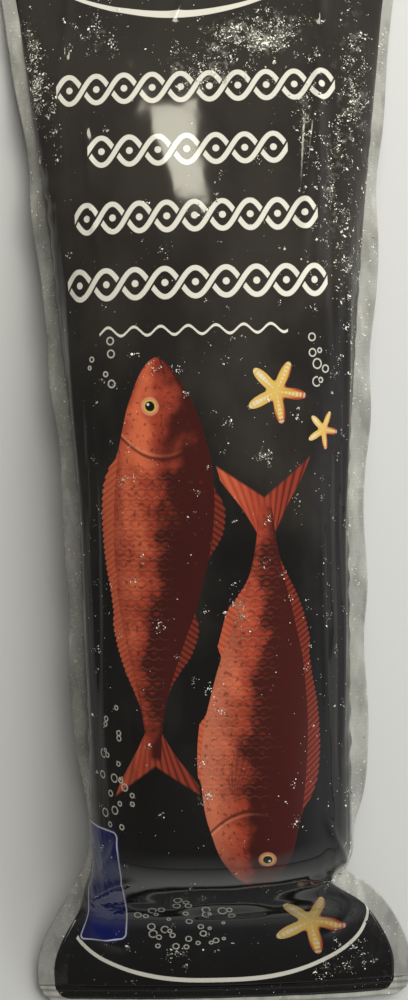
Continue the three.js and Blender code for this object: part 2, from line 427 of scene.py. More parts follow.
def sheet_piece(name, points, thickness, fields, material, upward=True):
    """A sheet with one vertex for each of the points [row, column], thickened behind its face.
    fields are values [row, column] that its material reads by name"""
    rows, columns = points.shape[:2]
    grid = bmesh.new()
    bmesh.ops.create_grid(grid, x_segments=columns - 1, y_segments=rows - 1, size=1)
    order = np.empty(len(grid.verts), int)
    for index, vert in enumerate(grid.verts):
        column = round((vert.co.x + 1) / 2 * (columns - 1))
        row = round((vert.co.y + 1) / 2 * (rows - 1))
        order[index] = row * columns + column
        vert.co = points[row, column]
    if not upward:
        bmesh.ops.reverse_faces(grid, faces=grid.faces)
    for face in grid.faces:
        face.smooth = True
    mesh = finished_mesh(name, grid)
    for field, values in fields.items():
        attribute = mesh.attributes.new(field, "FLOAT", "POINT")
        attribute.data.foreach_set("value", values.ravel()[order].astype(np.float32))
    if fields:
        flat_map(mesh, order, rows, columns)
    piece = new_piece(name, mesh, material)
    wall = piece.modifiers.new("thickness", "SOLIDIFY")
    wall.thickness = thickness
    wall.offset = -1.0
    return piece


def finished_mesh(name, shape):
    """A mesh with a bmesh's shape, which is freed"""
    mesh = bpy.data.meshes.new(name)
    shape.to_mesh(mesh)
    shape.free()
    return mesh


def flat_map(mesh, order, rows, columns):
    """The sheet laid flat over the whole of its own UV map"""
    margin = 0.004
    corners = np.empty(len(mesh.loops), np.int64)
    mesh.loops.foreach_get("vertex_index", corners)
    spot = order[corners]
    flat = np.stack([(spot % columns) / (columns - 1), (spot // columns) / (rows - 1)], 1)
    flat = margin + (1 - 2 * margin) * flat
    layer = mesh.uv_layers.new(name="OFBake")
    layer.data.foreach_set("uv", flat.ravel().astype(np.float32))


def new_piece(name, mesh, material):
    """An object for a finished mesh, riding with the pouch"""
    piece = bpy.data.objects.new(name, mesh)
    bpy.context.scene.collection.objects.link(piece)
    mesh.materials.append(material)
    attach(piece, RIDES_ON)
    return piece


# How far a crisp printed edge fades to each side
CRISP = 0.12 * MM


class Field:
    """A value in a shader tree that is worked with as plain arithmetic"""

    def __init__(self, tree, socket):
        self.tree = tree
        self.socket = socket

    def math(self, operation, *others):
        """What a Math node makes of this value and the others"""
        values = dict(enumerate((self, *others)))
        node = add_node(self.tree, "Math", values, operation=operation)
        return Field(self.tree, node.outputs[0])

    __add__ = __radd__ = partialmethod(math, "ADD")
    __mul__ = __rmul__ = partialmethod(math, "MULTIPLY")
    __sub__ = partialmethod(math, "SUBTRACT")
    __truediv__ = partialmethod(math, "DIVIDE")
    __pow__ = partialmethod(math, "POWER")
    __abs__ = partialmethod(math, "ABSOLUTE")
    sin = partialmethod(math, "SINE")
    cos = partialmethod(math, "COSINE")
    root = partialmethod(math, "SQRT")
    floor = partialmethod(math, "FLOOR")
    fraction = partialmethod(math, "FRACT")
    least = partialmethod(math, "MINIMUM")
    most = partialmethod(math, "MAXIMUM")
    # 1 where the value is over the other one, and else 0
    over = partialmethod(math, "GREATER_THAN")

    def __rsub__(self, other):
        return self * -1.0 + other

    def wave(self, length):
        """A sine wave of that length"""
        return (self * (2 * math.pi / length)).sin()

    def between(self, start, end):
        """0 at start, 1 at end, with an even S between"""
        values = {"Value": self, "From Min": start, "From Max": end}
        node = add_node(self.tree, "MapRange", values, interpolation_type="SMOOTHSTEP")
        return Field(self.tree, node.outputs["Result"])

    def above(self, edge, soft=CRISP):
        """A mask with a crisp edge: 1 where the value is above it"""
        return self.between(edge - soft, edge + soft)

    def below(self, edge, soft=CRISP):
        """A mask with a crisp edge: 1 where the value is below it"""
        return 1 - self.between(edge - soft, edge + soft)

    def line(self, half_width, soft=CRISP):
        """A mask of a line where the value is near 0"""
        return abs(self).below(half_width, soft)

    def profile(self, outline):
        """A smooth curve through (place, height) points from 0 to 1"""
        node = add_node(self.tree, "FloatCurve", {"Value": self})
        curve = node.mapping.curves[0]
        for _ in outline[2:]:
            curve.points.new(0.5, 0.5)
        for point, place in zip(curve.points, outline):
            point.location = place
        node.mapping.update()
        return Field(self.tree, node.outputs[0])


def give(tree, slot, value):
    """Sets a node's input to a number or a colour, or links a field or a socket to it"""
    if isinstance(value, Field):
        tree.links.new(value.socket, slot)
    elif isinstance(value, bpy.types.NodeSocket):
        tree.links.new(value, slot)
    elif isinstance(value, (int, float)):
        slot.default_value = value
    else:
        slot.default_value = (*value, 1.0)[: len(slot.default_value)]


def fill(tree, node, values):
    """Gives a node's inputs, each by its name or its number"""
    for name, value in values.items():
        give(tree, node.inputs[name], value)


def add_node(tree, kind, values=None, **settings):
    """A new shader node with its settings and its inputs' values"""
    node = tree.nodes.new(f"ShaderNode{kind}")
    for setting, value in settings.items():
        setattr(node, setting, value)
    fill(tree, node, values or {})
    return node


def distance(x, y):
    """The distance of (x, y) from 0"""
    return (x * x + y * y).root()


def mix(tree, factor, first, second):
    """A blend of two colours, each three numbers, a field or a socket"""
    values = {"Factor": factor, 6: first, 7: second}
    return add_node(tree, "Mix", values, data_type="RGBA").outputs[2]


def painted(tree, colour, *layers):
    """A colour with layers over it in turn, each a mask and the colour that it lays down"""
    for mask, paint in layers:
        colour = mix(tree, mask, colour, paint)
    return colour


def shader_group(name, inputs, outputs):
    """A new shader node group: its tree, its inputs as fields, and its output node"""
    tree = bpy.data.node_groups.new(name, "ShaderNodeTree")
    for socket, kind in inputs.items():
        tree.interface.new_socket(name=socket, in_out="INPUT", socket_type=f"NodeSocket{kind}")
    for socket, kind in outputs.items():
        tree.interface.new_socket(name=socket, in_out="OUTPUT", socket_type=f"NodeSocket{kind}")
    source = tree.nodes.new("NodeGroupInput")
    fields = [Field(tree, source.outputs[socket]) for socket in inputs]
    return tree, fields, tree.nodes.new("NodeGroupOutput")


def use_group(tree, group, **values):
    """Places a node group in a tree and gives its inputs. Returns its outputs by name"""
    named = {name.replace("_", " ").capitalize(): value for name, value in values.items()}
    outputs = add_node(tree, "Group", named, node_tree=group).outputs
    return {output.name: Field(tree, output) for output in outputs}


def new_material(name, specular=0.5):
    """A material with its tree and its shader"""
    material = bpy.data.materials.new(name)
    material.use_nodes = True
    tree = material.node_tree
    tree.nodes.clear()
    shader = add_node(tree, "BsdfPrincipled", {"Specular IOR Level": specular})
    add_node(tree, "OutputMaterial", {"Surface": shader.outputs["BSDF"]})
    return material, tree, shader


def object_place(tree):
    """The point's place on the pouch, in metres"""
    return add_node(tree, "TexCoord").outputs["Object"]


def own_fields(tree, names):
    """Values that the piece's own vertices carry"""
    nodes = [add_node(tree, "Attribute", attribute_name=name) for name in names]
    return [Field(tree, node.outputs["Fac"]) for node in nodes]


def flat_place(tree, across, along):
    """The place on the flat bag as a vector"""
    return add_node(tree, "CombineXYZ", {"X": across, "Y": along}).outputs["Vector"]


def axes(tree, place):
    """The three parts of a place"""
    split = add_node(tree, "SeparateXYZ", {"Vector": place})
    return [Field(tree, split.outputs[axis]) for axis in "XYZ"]


def scaled(tree, place, size, stretch=(1, 1, 1)):
    """A place measured in lumps of that size, stretched along each axis"""
    values = {"Vector": place, "Scale": [1 / (size * k) for k in stretch]}
    return add_node(tree, "Mapping", values).outputs["Vector"]


def noise_field(tree, place, size, detail=3.0, stretch=(1, 1, 1), dimensions="3D"):
    """Noise from 0 to 1 with lumps of that size"""
    values = {"Vector": scaled(tree, place, size, stretch), "Scale": 1.0, "Detail": detail}
    node = add_node(tree, "TexNoise", values, noise_dimensions=dimensions)
    return Field(tree, node.outputs["Fac"])


def scattered_rings(tree, place, size):
    """Rings of mixed sizes, one in each cell of that size, and where each one's middle is"""
    values = {"Vector": scaled(tree, place, size), "Scale": 1.0}
    cells = add_node(tree, "TexVoronoi", values, voronoi_dimensions="2D").outputs
    split = add_node(tree, "SeparateColor", {"Color": cells["Color"]})
    radius = Field(tree, split.outputs["Red"]) * 0.2 + 0.1
    rings = (Field(tree, cells["Distance"]) - radius).line(0.045, 0.02)
    x, y, _ = axes(tree, cells["Position"])
    return rings, x * size, y * size


def chosen(masks, rows):
    """The values of the first row, or of the next row along for each mask that is 1"""
    values = list(rows[0])
    for mask, before, after in zip(masks, rows, rows[1:]):
        values = [mask * (b - a) + value for value, a, b in zip(values, before, after)]
    return values


def bump_normal(tree, height, reach=0.5 * MM):
    """A normal from a height field. reach is what a height of 1 stands for"""
    return add_node(tree, "Bump", {"Height": height, "Distance": reach}).outputs["Normal"]


# A fish's outlines, as shares of its length from the nose and of its half width
BODY = ((0, 0), (0.02, 0.24), (0.07, 0.5), (0.16, 0.79), (0.27, 0.97), (0.36, 1.0), (0.5, 0.87))
BODY = (*BODY, (0.65, 0.55), (0.77, 0.27), (0.84, 0.17), (0.9, 0.12), (1, 0.0))
TAIL = ((0, 0), (0.8, 0.0), (0.84, 0.17), (0.89, 0.4), (0.95, 0.74), (1.0, 0.98))
BACK_FIN = ((0, 0), (0.2, 0), (0.25, 0.2), (0.31, 0.3), (0.45, 0.24), (0.56, 0.16), (0.61, 0.24))
BACK_FIN = (*BACK_FIN, (0.68, 0.2), (0.76, 0.05), (0.79, 0), (1, 0))
BELLY_FINS = ((0, 0), (0.28, 0), (0.31, 0.12), (0.36, 0.22), (0.42, 0.1), (0.45, 0), (0.56, 0))
BELLY_FINS = (*BELLY_FINS, (0.59, 0.14), (0.64, 0.24), (0.7, 0.12), (0.76, 0), (1, 0))
# How far back the gill cover, the side fin and the eye are, as shares of the length, and how far
# aside the side fin and the eye are, as a share of the half width
GILL_BACK, SIDE_FIN_BACK, EYE_BACK, ASIDE = 0.225, 0.325, 0.108, 0.2
EYE_RIM, IRIS, PUPIL, GLINT = 3.0 * MM, 2.2 * MM, 1.6 * MM, 0.45 * MM
SCALE_SIZE = 3.3 * MM
FIN_RAY_PITCH = 2.1 * MM


def fish_group(colours):
    """A printed fish. It lies along the bag with its nose at a place on the flat bag, nose up
    where Turn is 1 and nose down where it is -1. Mottle and Freckle are noise from 0 to 1"""
    inputs = ("Across", "Along", "Nose across", "Nose along", "Length", "Half width", "Turn")
    tree, fields, out = shader_group(
        "printed fish",
        dict.fromkeys((*inputs, "Mottle", "Freckle"), "Float"),
        {"Mask": "Float", "Colour": "Color"},
    )
    across, along, nose_across, nose_along, length, half, turn, mottle, freckle = fields
    back = (nose_along - along) * turn
    share = back / length
    sway = (share * 5.2 + 0.5).sin() * half * 0.16
    aside = (across - nose_across) * turn - sway
    width = share.profile(BODY) * half
    body = (width - abs(aside)).above(0.0) * share.above(0.0, 0.001) * share.below(0.9, 0.01)

    # Fins: their rays fan out backwards
    slant = back - abs(aside) * 0.7
    ray = abs((slant * (math.pi / FIN_RAY_PITCH)).sin())
    spikes = 0.84 + ray * 0.16
    back_reach = width + share.profile(BACK_FIN) * half * spikes
    belly_reach = width + share.profile(BELLY_FINS) * half * spikes
    back_fin = (back_reach + aside).above(0.0) * aside.below(0.0)
    belly_fin = (belly_reach - aside).above(0.0) * aside.above(0.0)
    tail_edge = share.profile(TAIL) * half
    fork = 0.915 + (abs(aside) / half) * 0.085
    tail = (tail_edge - abs(aside)).above(0.0) * share.below(fork, 0.004) * share.above(0.82, 0.01)
    fan = aside / (share - 0.76) / half
    tail_ray = abs((fan * 4.2).sin())
    fins = back_fin.most(belly_fin) * share.above(0.1, 0.01) * share.below(0.8, 0.01)
    fins = fins.most(tail)
    mask = body.most(fins)

    # Light from the left, rounder near the edges, on scales in staggered rows
    lit = 1 - (aside * turn / half - (mottle - 0.5) * 0.9).between(-0.75, 0.6)
    rim = (abs(aside) / (width + 0.2 * MM)).between(0.7, 1.05)
    row = back / SCALE_SIZE
    stagger = (row.floor() * 0.5).fraction()
    column = (aside / SCALE_SIZE * 0.92 + stagger).fraction() - 0.5
    arc = distance(column, row.fraction() * 0.86)
    scale_edge = (arc - 0.66).line(0.06, 0.06)
    scaly = share.between(0.235, 0.26) * (1 - share.between(0.8, 0.86)) * (1 - rim * 0.7)
    tone = lit * 0.78 + 0.1 - scaly * arc.between(0.1, 0.62) * 0.16 - rim * 0.26
    highlight = ((aside * turn / half + 0.34) * 3.4) ** 2.0
    tone = tone + (1 - highlight.between(0.0, 1.0)) * 0.14 + (mottle - 0.5) * 0.9
    fin_tone = lit * 0.5 + 0.06 + ray * 0.2
    tail_tone = lit * 0.45 + 0.08 + tail_ray * 0.24
    fin_tone = fin_tone + (tail_tone - fin_tone) * share.above(0.83, 0.02)
    tone = fin_tone + (tone - fin_tone) * body
    belly = (aside / half).between(0.2, 1.0) * body * lit.between(0.0, 0.5)

    # Gill cover, side fin, mouth and eye
    gill = back - length * GILL_BACK + aside * aside / half * 0.62
    edge_light = (gill + 1.2 * MM).line(0.4 * MM, 0.4 * MM) * body * lit
    fin_back, fin_aside = back - length * SIDE_FIN_BACK, aside - half * ASIDE
    lean = fin_aside + fin_back * 0.25
    side_fin = distance(fin_back / 10.5, lean / 4.6).below(MM, 0.06 * MM)
    side_ray = abs((lean / (fin_back + 14 * MM) * 26.0).sin())
    mouth = (aside - 1.2 * MM - back * 0.2).line(0.25 * MM) * back.below(5.5 * MM, 0.6 * MM)
    eye_back, eye_aside = back - length * EYE_BACK, aside + half * ASIDE
    eye = distance(eye_back, eye_aside)
    glint = distance(eye_back + 0.6 * MM, eye_aside + 0.6 * MM)
    colour = painted(
        tree,
        colours.deep,
        (tone.between(0.0, 0.5), colours.coral),
        (tone.between(0.42, 0.98), colours.lit),
        (belly * 0.35, colours.pale),
        (scale_edge * scaly * 0.28 * lit, colours.pale),
        (freckle.between(0.6, 0.74) * body * 0.5, colours.deep),
        (gill.line(0.55 * MM, 0.3 * MM) * body * 0.7, colours.deep),
        (edge_light * 0.45, colours.pale),
        (side_fin * (0.12 + side_ray * 0.34), colours.deep),
        (mouth * body * 0.8, colours.deep),
        (eye.below(EYE_RIM, 0.3 * MM) * 0.7, colours.pale),
        (eye.below(IRIS), colours.yellow),
        (eye.below(PUPIL), colours.dark),
        (glint.below(GLINT), colours.cream),
    )
    fill(tree, out, {"Mask": mask, "Colour": colour})
    return tree


def starfish_group(colours):
    """A printed starfish with five rounded arms and pale spots down each of them"""
    inputs = ("Across", "Along", "Middle across", "Middle along", "Radius", "Turn")
    tree, fields, out = shader_group(
        "printed starfish", dict.fromkeys(inputs, "Float"), {"Mask": "Float", "Colour": "Color"}
    )
    across, along, middle_across, middle_along, radius, turn = fields
    x, y = across - middle_across, along - middle_along
    reach = distance(x, y)
    angle = y.math("ARCTAN2", x) * 5.0 + turn
    arm = (angle.cos() * 0.5 + 0.5) ** 1.6
    edge = radius * (arm * 0.66 + 0.34)
    mask = (edge - reach).above(0.0)
    lit = 1 - (x / radius - y / radius * 0.4).between(-0.9, 1.0)
    ridge = arm.between(0.75, 1.0)
    tone = lit * 0.65 + ridge * 0.25 - (reach / edge).between(0.7, 1.0) * 0.35 + 0.2
    spots = ((reach / radius * 8.0).fraction() - 0.5).line(0.2, 0.08) * arm.above(0.93, 0.03)
    colour = painted(
        tree,
        colours.coral,
        (tone.between(0.0, 0.6), colours.yellow),
        (tone.between(0.7, 1.4), colours.cream),
        (spots * 0.5, colours.cream),
    )
    fill(tree, out, {"Mask": mask, "Colour": colour})
    return tree


def rope_group():
    """A mask of a two-strand rope band across the bag, from Left to Right with that many Eyes"""
    inputs = ("Across", "Along", "Middle", "Left", "Right", "Eyes")
    tree, fields, out = shader_group(
        "rope band", dict.fromkeys(inputs, "Float"), {"Mask": "Float"}
    )
    across, along, middle, left, right, eyes = fields
    swing, half, gap = 4.6 * MM, 0.85 * MM, 0.7 * MM
    pitch = eyes * math.pi / (right - left)
    phase = (across - left) * pitch
    height = along - middle
    slope = phase.cos() * pitch * swing
    steep = (slope * slope + 1.0).root()
    first = abs(height - phase.sin() * swing) / steep
    second = abs(height + phase.sin() * swing) / steep
    over = phase.cos().above(0.0, 0.02)
    first_strand = first.below(half) * (1 - second.below(half + gap) * (1 - over))
    second_strand = second.below(half) * (1 - first.below(half + gap) * over)
    bead_across = ((phase / math.pi).fraction() - 0.5) * math.pi / pitch
    bead = distance(bead_across, height).below(1.15 * MM)
    ends = (across - left).least(right - across).above(0.0)
    fill(tree, out, {"Mask": first_strand.most(second_strand).most(bead) * ends})
    return tree


def milky_group(colours):
    """Clear film welded to clear film: a milky colour, darker and whiter in patches"""
    if "milky film" in bpy.data.node_groups:
        return bpy.data.node_groups["milky film"]
    tree, (place,), out = shader_group("milky film", {"Place": "Vector"}, {"Colour": "Color"})
    cloud = noise_field(tree, place.socket, 6 * MM, 2.0, (1, 3, 1))
    darker = [0.75 * channel for channel in colours.margin]
    whiter = [min(1.0, 1.4 * channel) for channel in colours.margin]
    patches = (cloud.between(0.32, 0.52), colours.margin), (cloud.between(0.54, 0.76), whiter)
    fill(tree, out, {"Colour": painted(tree, darker, *patches)})
    return tree


def film_finish_group():
    """What every film has: its gloss, its crinkles, specks of frost and a dull haze round them"""
    if "film finish" in bpy.data.node_groups:
        return bpy.data.node_groups["film finish"]
    inputs = {"Place": "Vector", "Frost": "Float", "Stretch": "Float"}
    outputs = dict.fromkeys(("Roughness", "Height", "Specks", "Haze"), "Float")
    tree, fields, out = shader_group("film finish", inputs, outputs)
    place, frost, stretch = fields[0].socket, fields[1], fields[2]
    soft = noise_field(tree, place, 8 * MM, 1.0)
    streak = noise_field(tree, place, 2.6 * MM, 1.0, (1, 14, 1))
    cloud = noise_field(tree, place, 2.2 * MM, 4.0)
    haze = (cloud + frost * 0.34).between(0.56, 0.82) * frost.between(0.04, 0.3)
    specks = (noise_field(tree, place, 0.7 * MM, 1.0) + frost * 0.3).between(0.79, 0.84)
    roughness = 0.055 + haze * 0.35 + specks * 0.3
    height = soft * 0.05 + streak * stretch * 0.4
    values = {"Roughness": roughness, "Height": height, "Specks": specks, "Haze": haze}
    fill(tree, out, values)
    return tree


# The front's print on the flat bag, in millimetres
ROPE_BANDS = ((264, -49, 41, 9), (286, -45, 37.5, 9), (308.5, -39.5, 28, 7), (330, -50.5, 45.5, 10))
ROPE_BREAKS = (275, 297, 319)
FISH = ((-19, 240, 146, 17), (14, 57, 150, 18))
STARFISH = ((33, 34, 15), (21.5, 228, 10.5), (38.5, 215, 6.5))
BUBBLES = ((-37, 104, 8, 24), (-14, 36, 19, 14), (-36, 240, 7, 10), (36, 238, 7, 10))
# Boxes with round corners, in millimetres: where the middle is, half the width, half the length
# and the corners' radius. The label and the back's panel lie on the flat bag, and the whole print
# on the pouch
LABEL = (-46.5, 54.5, 10.5, 27.5, 3)
BACK_PANEL = (0, 190, 37, 71, 4)
WHOLE_PRINT = (0, 0, 63.5, 198, 6)
RULE_PITCH = 9 * MM
RIB_PITCH = 1.3 * MM
GROUND_CLOUDS = 26 * MM
PRINT_FIELDS = ("print_across", "print_along", "frost")
PRINTED_SPECULAR = 0.32


def outside_of(box, across, along):
    """How far a place is outside a box with round corners, less than 0 inside it"""
    x, y, half_width, half_length, corner = (size * MM for size in box)
    past = (abs(across - x) - (half_width - corner)).most(0.0)
    beyond = (abs(along - y) - (half_length - corner)).most(0.0)
    return distance(past, beyond) - corner


def front_print(tree, across, along, colours):
    """The print's colour over the front"""
    flat = {"across": across, "along": along}
    place = flat_place(tree, across, along)
    upper = along.over(150 * MM)
    row = chosen((upper, upper * across.over(32 * MM)), STARFISH)
    x, y, radius = (value * MM for value in row)
    middle = {"middle_across": x, "middle_along": y}
    star = use_group(tree, starfish_group(colours), **flat, **middle, radius=radius, turn=0.8)

    # One fish lies on each side of a wavy line
    right = (across - (along - 142 * MM).wave(140 * MM) * 6.5 * MM).over(-1 * MM)
    x, y, length, half = (value * MM for value in chosen((right,), FISH))
    # The fish and the ground grow lighter towards the top
    height = along.between(50 * MM, 340 * MM)
    fish = use_group(
        tree,
        fish_group(colours),
        **flat,
        nose_across=x,
        nose_along=y,
        length=length,
        half_width=half,
        turn=1 - right * 2.0,
        mottle=noise_field(tree, place, 9 * MM, 3.0, dimensions="2D") * 0.55 + height * 0.3,
        freckle=noise_field(tree, place, 1.7 * MM, 1.0, dimensions="2D"),
    )
    # The ground is paler and browner towards the top
    ground = noise_field(tree, place, GROUND_CLOUDS, 4.0, (1, 1.4, 1), "2D")
    pale = ground.between(0.3, 0.75) * 0.5 + height - 0.35
    label = outside_of(LABEL, across, along)
    return painted(
        tree,
        colours.dark,
        (pale.between(0.0, 1.0), colours.slate),
        (star["Mask"], star["Colour"]),
        (fish["Mask"], fish["Colour"]),
        (front_lines(tree, across, along, place), colours.cream),
        (label.below(0.0), colours.blue),
        ((label + 0.9 * MM).line(0.28 * MM) * 0.8, colours.cream),
    )


def front_lines(tree, across, along, place):
    """A mask of the cream lines: rope bands, a fine wave, two frame lines and bubbles"""
    ripple = across.wave(9 * MM) * 1.4 * MM
    cream = (along - 248.5 * MM - ripple).line(0.45 * MM) * (across + 5.5 * MM).line(31.5 * MM)
    masks = [along.over(edge * MM) for edge in ROPE_BREAKS]
    middle, left, right, eyes = chosen(masks, ROPE_BANDS)
    ends = {"middle": middle * MM, "left": left * MM, "right": right * MM}
    rope = use_group(tree, rope_group(), across=across, along=along, **ends, eyes=eyes)
    lift = (abs(across + 2 * MM) / (62 * MM)) ** 2.8
    lower = (along - 9.5 * MM - lift * 26 * MM).line(0.9 * MM)
    aside = across + 8.5 * MM
    upper = (along - 355.5 * MM - aside * aside * 6.0).line(1.3 * MM - abs(aside) * 0.02)
    rings, x, y = scattered_rings(tree, place, 5.2 * MM)
    near = 0.0
    for middle_x, middle_y, reach_x, reach_y in BUBBLES:
        off = distance((x - middle_x * MM) / reach_x, (y - middle_y * MM) / reach_y)
        near = off.below(1.0 * MM, 0.01 * MM).most(near)
    return cream.most(rope["Mask"]).most(lower).most(upper).most(rings * near * 0.7)


def give_film(tree, shader, colour, finish, colours):
    """Gives a film's shader its print under haze and specks of frost, its gloss and its crinkles"""
    colour = painted(
        tree, colour, (finish["Haze"] * 0.5, colours.haze), (finish["Specks"], colours.ice)
    )
    normal = bump_normal(tree, finish["Height"])
    values = {"Base Color": colour, "Roughness": finish["Roughness"], "Normal": normal}
    fill(tree, shader, values)


def printed_front(colours):
    """Glossy printed film with frost on it"""
    material, tree, shader = new_material("printed film", PRINTED_SPECULAR)
    across, along, frost = own_fields(tree, PRINT_FIELDS)
    colour = front_print(tree, across, along, colours)
    half_width = WHOLE_PRINT[2] * MM
    stretch = (abs(across) / half_width).between(0.5, 0.75)
    place = object_place(tree)
    finish = use_group(tree, film_finish_group(), place=place, frost=frost, stretch=stretch)
    give_film(tree, shader, colour, finish, colours)
    return material


def printed_back(colours):
    """The back's dark film, with a bare ruled panel"""
    material, tree, shader = new_material("printed back film", PRINTED_SPECULAR)
    across, along, frost = own_fields(tree, PRINT_FIELDS)
    ground = noise_field(tree, flat_place(tree, across, along), GROUND_CLOUDS, 4.0)
    outside = outside_of(BACK_PANEL, across, along)
    rule = (((along / RULE_PITCH).fraction() - 0.5) * RULE_PITCH).line(0.2 * MM)
    lines = outside.line(0.5 * MM).most(rule * outside.below(-3 * MM) * 0.7)
    colour = painted(
        tree, colours.dark, (ground.between(0.42, 0.72), colours.slate), (lines, colours.cream)
    )
    place = object_place(tree)
    finish = use_group(tree, film_finish_group(), place=place, frost=frost, stretch=0.2)
    give_film(tree, shader, colour, finish, colours)
    return material


def milky_margin(colours):
    """Milky welded film, ribbed by the welding jaws"""
    material, tree, shader = new_material("milky margin")
    place = object_place(tree)
    _, along, _ = axes(tree, place)
    milky = use_group(tree, milky_group(colours), place=place)
    finish = use_group(tree, film_finish_group(), place=place, frost=0.22, stretch=0.0)
    height = finish["Height"] * 5.0 + along.wave(RIB_PITCH) * 0.012
    values = {
        "Base Color": mix(tree, finish["Specks"] * 0.8, milky["Colour"], colours.ice),
        "Roughness": finish["Roughness"] + 0.16,
        "Normal": bump_normal(tree, height),
    }
    fill(tree, shader, values)
    return material


def crimped_end(colours):
    """Welded film with the round-cornered end of the print's dark ground"""
    material, tree, shader = new_material("crimped end", PRINTED_SPECULAR)
    place = object_place(tree)
    across, along, _ = axes(tree, place)
    clear = outside_of(WHOLE_PRINT, across, along).above(0.0)
    milky = use_group(tree, milky_group(colours), place=place)
    finish = use_group(tree, film_finish_group(), place=place, frost=0.1, stretch=0.0)
    finish["Height"] = finish["Height"] * 4.0 + across.wave(RIB_PITCH) * 0.02
    finish["Roughness"] = finish["Roughness"] + clear * 0.16 + 0.06
    colour = mix(tree, clear, colours.dark, milky["Colour"])
    give_film(tree, shader, colour, finish, colours)
    return material


def frost_material(colours):
    """Small flakes of ice, some dim and some bright"""
    material, tree, shader = new_material("frost")
    cloud = noise_field(tree, object_place(tree), 1.6 * MM, 3.0)
    colour = mix(tree, cloud.between(0.36, 0.62), colours.haze, colours.ice)
    normal = bump_normal(tree, cloud, 0.2 * MM)
    fill(tree, shader, {"Base Color": colour, "Normal": normal, "Roughness": 0.3, "IOR": 1.31})
    return material


def block_material(colours):
    """Frozen seafood in cloudy ice"""
    material, tree, shader = new_material("frozen block")
    place = object_place(tree)
    cloud = noise_field(tree, place, 18 * MM, 5.0)
    colour = mix(tree, cloud.between(0.35, 0.65), colours.block, colours.ice)
    normal = bump_normal(tree, noise_field(tree, place, 3 * MM, 4.0), MM)
    values = {"Base Color": colour, "Roughness": cloud * 0.3 + 0.3, "Normal": normal}
    fill(tree, shader, values)
    return material


# Frost: clumps on each margin and flakes in each of them, and the patches of it on the front. Each
# patch has its middle and its reach on the flat bag in millimetres, and how many clumps it has.
MARGIN_CLUMPS = 60
MARGIN_FLAKES = 9
FLAKES_IN_CLUMP = 4.0
CLUMP_SPREAD = 0.26 * MM
FROST_SEED = 7
FROST = (
    ((18, 347), (15, 6), 150),
    ((2, 335), (10, 6), 70),
    ((-59, 337), (3, 14), 110),
    ((-35, 351), (7, 7), 40),
    ((-52, 322), (3, 12), 30),
    ((52, 330), (6, 20), 130),
    ((45, 300), (7, 24), 110),
    ((50, 262), (6, 24), 60),
    ((34, 318), (3, 14), 40),
    ((24, 350), (6, 8), 50),
    ((7, 158), (3, 6), 16),
    # The next two small patches are pale flakes set where the film shows glints: painted highlights
    ((17, 207), (2, 3), 12),
    ((-5, 95), (2, 2), 8),
    ((42, 140), (12, 60), 60),
    ((-44, 150), (10, 70), 50),
    ((0, 260), (45, 70), 130),
    ((0, 100), (40, 80), 70),
    ((46, 16), (12, 8), 40),
    ((-20, 20), (30, 8), 20),
)


def frost_density(around, along):
    """How thickly frost lies over the front, from 0 to 1"""
    density = np.full_like(around, 0.02)
    for (x, y), (reach_x, reach_y), count in FROST:
        crowd = count / (reach_x * reach_y)
        near = bump(around, x * MM, reach_x * MM) * bump(along, y * MM, reach_y * MM)
        density += 0.45 * crowd * near
    patchy = 0.6 + 0.8 * wrinkle_noise(around, along, 7 * MM, 1, 6.6)
    return np.clip(density * np.clip(patchy, 0.1, 1.5), 0, 0.8)


def frost_places(random):
    """The middle of each flake on the flat bag, in clumps of a few flakes each"""
    places = []
    for middle, reach, count in FROST:
        for clump in random.normal(middle, np.array(reach) * 0.7, (count, 2)) * MM:
            flakes = 1 + int(random.exponential(FLAKES_IN_CLUMP))
            places.append(random.normal(clump, CLUMP_SPREAD * math.sqrt(flakes), (flakes, 2)))
    return np.concatenate(places)


def on_sheet(points, column, row):
    """Points on a sheet, and its normals there, for columns and rows that needn't be whole"""
    i = np.clip(column.astype(int), 0, points.shape[1] - 2)
    j = np.clip(row.astype(int), 0, points.shape[0] - 2)
    u, v = (column - i)[:, None], (row - j)[:, None]
    low = points[j, i] * (1 - u) + points[j, i + 1] * u
    high = points[j + 1, i] * (1 - u) + points[j + 1, i + 1] * u
    return low * (1 - v) + high * v, normals_of(points)[j, i]


def frost_spots(shape, random):
    """Where the flakes sit on the front and on both margins, and the normals there"""
    points, _, _ = front_points(shape)
    places = frost_places(random)
    inside = (np.abs(places[:, 0]) < shape.half - MM) & (places[:, 1] > shape.first + MM)
    places = places[inside & (places[:, 1] < shape.last - MM)]
    column = (places[:, 0] / shape.half + 1) / 2 * FRONT_QUADS[0]
    row = (places[:, 1] - shape.first) / (shape.last - shape.first) * FRONT_QUADS[1]
    found = [on_sheet(points, column, row)]
    for side in (-1, 1):
        clumps = random.uniform(0.02, 0.98, MARGIN_CLUMPS).repeat(MARGIN_FLAKES)
        row = (clumps + random.normal(0, 0.006, clumps.size)).clip(0, 1) * MARGIN_QUADS[1]
        column = random.uniform(0.1, 0.9, clumps.size) * MARGIN_QUADS[0]
        found.append(on_sheet(margin_points(shape, side) + shape.place, column, row))
    return [np.concatenate(part) for part in zip(*found)]


